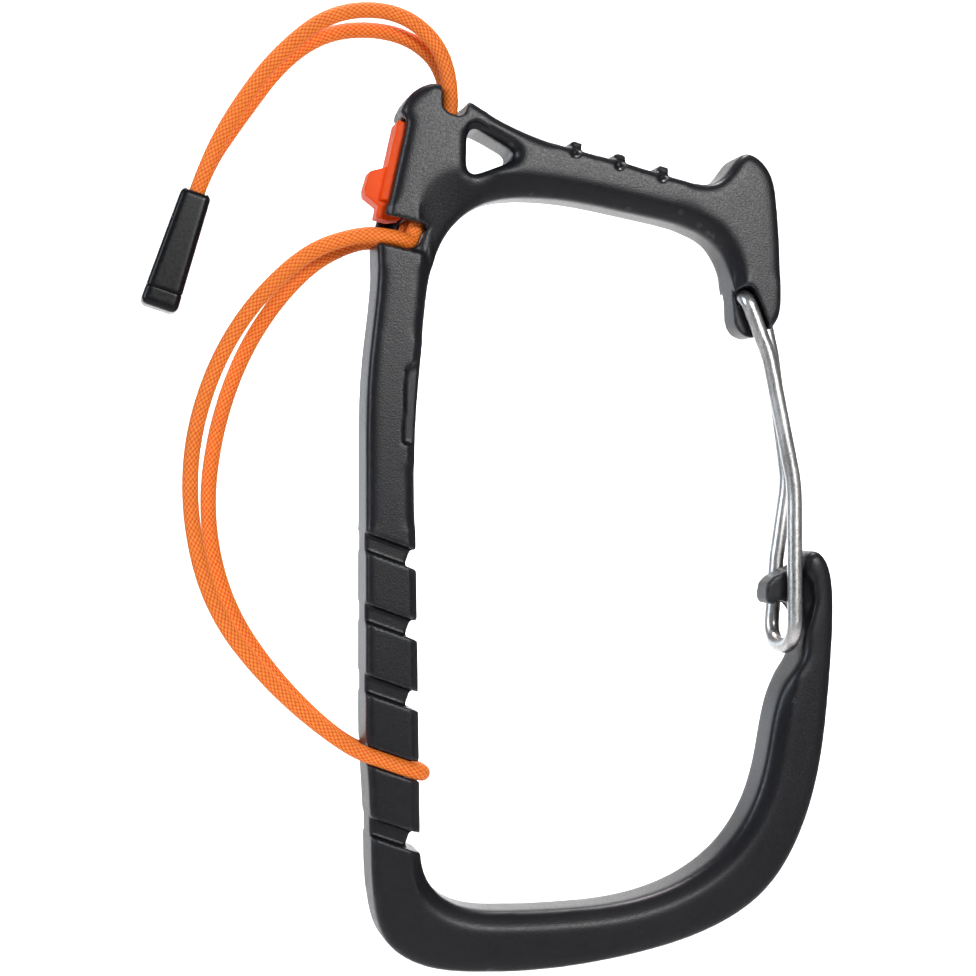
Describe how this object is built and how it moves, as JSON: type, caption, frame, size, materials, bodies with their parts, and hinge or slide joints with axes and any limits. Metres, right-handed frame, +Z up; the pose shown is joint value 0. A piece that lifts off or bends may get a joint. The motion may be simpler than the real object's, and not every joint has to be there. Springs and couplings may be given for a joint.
{
  "type": "harness gear clip",
  "caption": "Moulded C-shaped gear holder with a sprung wire gate, a locking slider and an elastic belt cord that hooks into notches on the spine.",
  "frame": {"origin": "on the middle of the flat belt seat of the spine's outer face, half way through the thickness", "axes": "+X from the spine towards the gate, +Y towards the rear face through the thickness, +Z up along the spine as worn"},
  "size_m": [0.1163, 0.0124, 0.1594],
  "materials": {
    "frame_nylon": "satin moulded nylon with a fine grain",
    "slider_nylon": "satin moulded nylon",
    "gate_steel": "drawn stainless wire, lightly blasted",
    "elastic_cord": "braided elastic cord",
    "tab_plastic": "smooth moulded plastic"
  },
  "bodies": {
    "frame": {"frame": "frame_nylon", "belt_loop": "elastic_cord", "inner_cord_front": "elastic_cord", "inner_cord_rear": "elastic_cord", "pull_cord_front": "elastic_cord", "pull_cord_rear": "elastic_cord", "tab_body": "tab_plastic", "tab_cap": "tab_plastic"},
    "gate": {"gate_wire": "gate_steel"},
    "slider": {"lock_slider": "slider_nylon"}
  },
  "joints": [
    {"name": "gate_swing", "type": "hinge", "parent": "frame", "child": "gate", "pos_m": [0.0649, 0, 0.0342], "axis": [0, 1, 0], "range_deg": [0, 30], "stiffness_Nm_per_rad": 0.4, "springref_deg": -6.88},
    {"name": "slider_lock", "type": "slide", "parent": "frame", "child": "slider", "axis": [-0.218, 0, -0.976], "range_m": [0, 0.0015]}
  ]
}
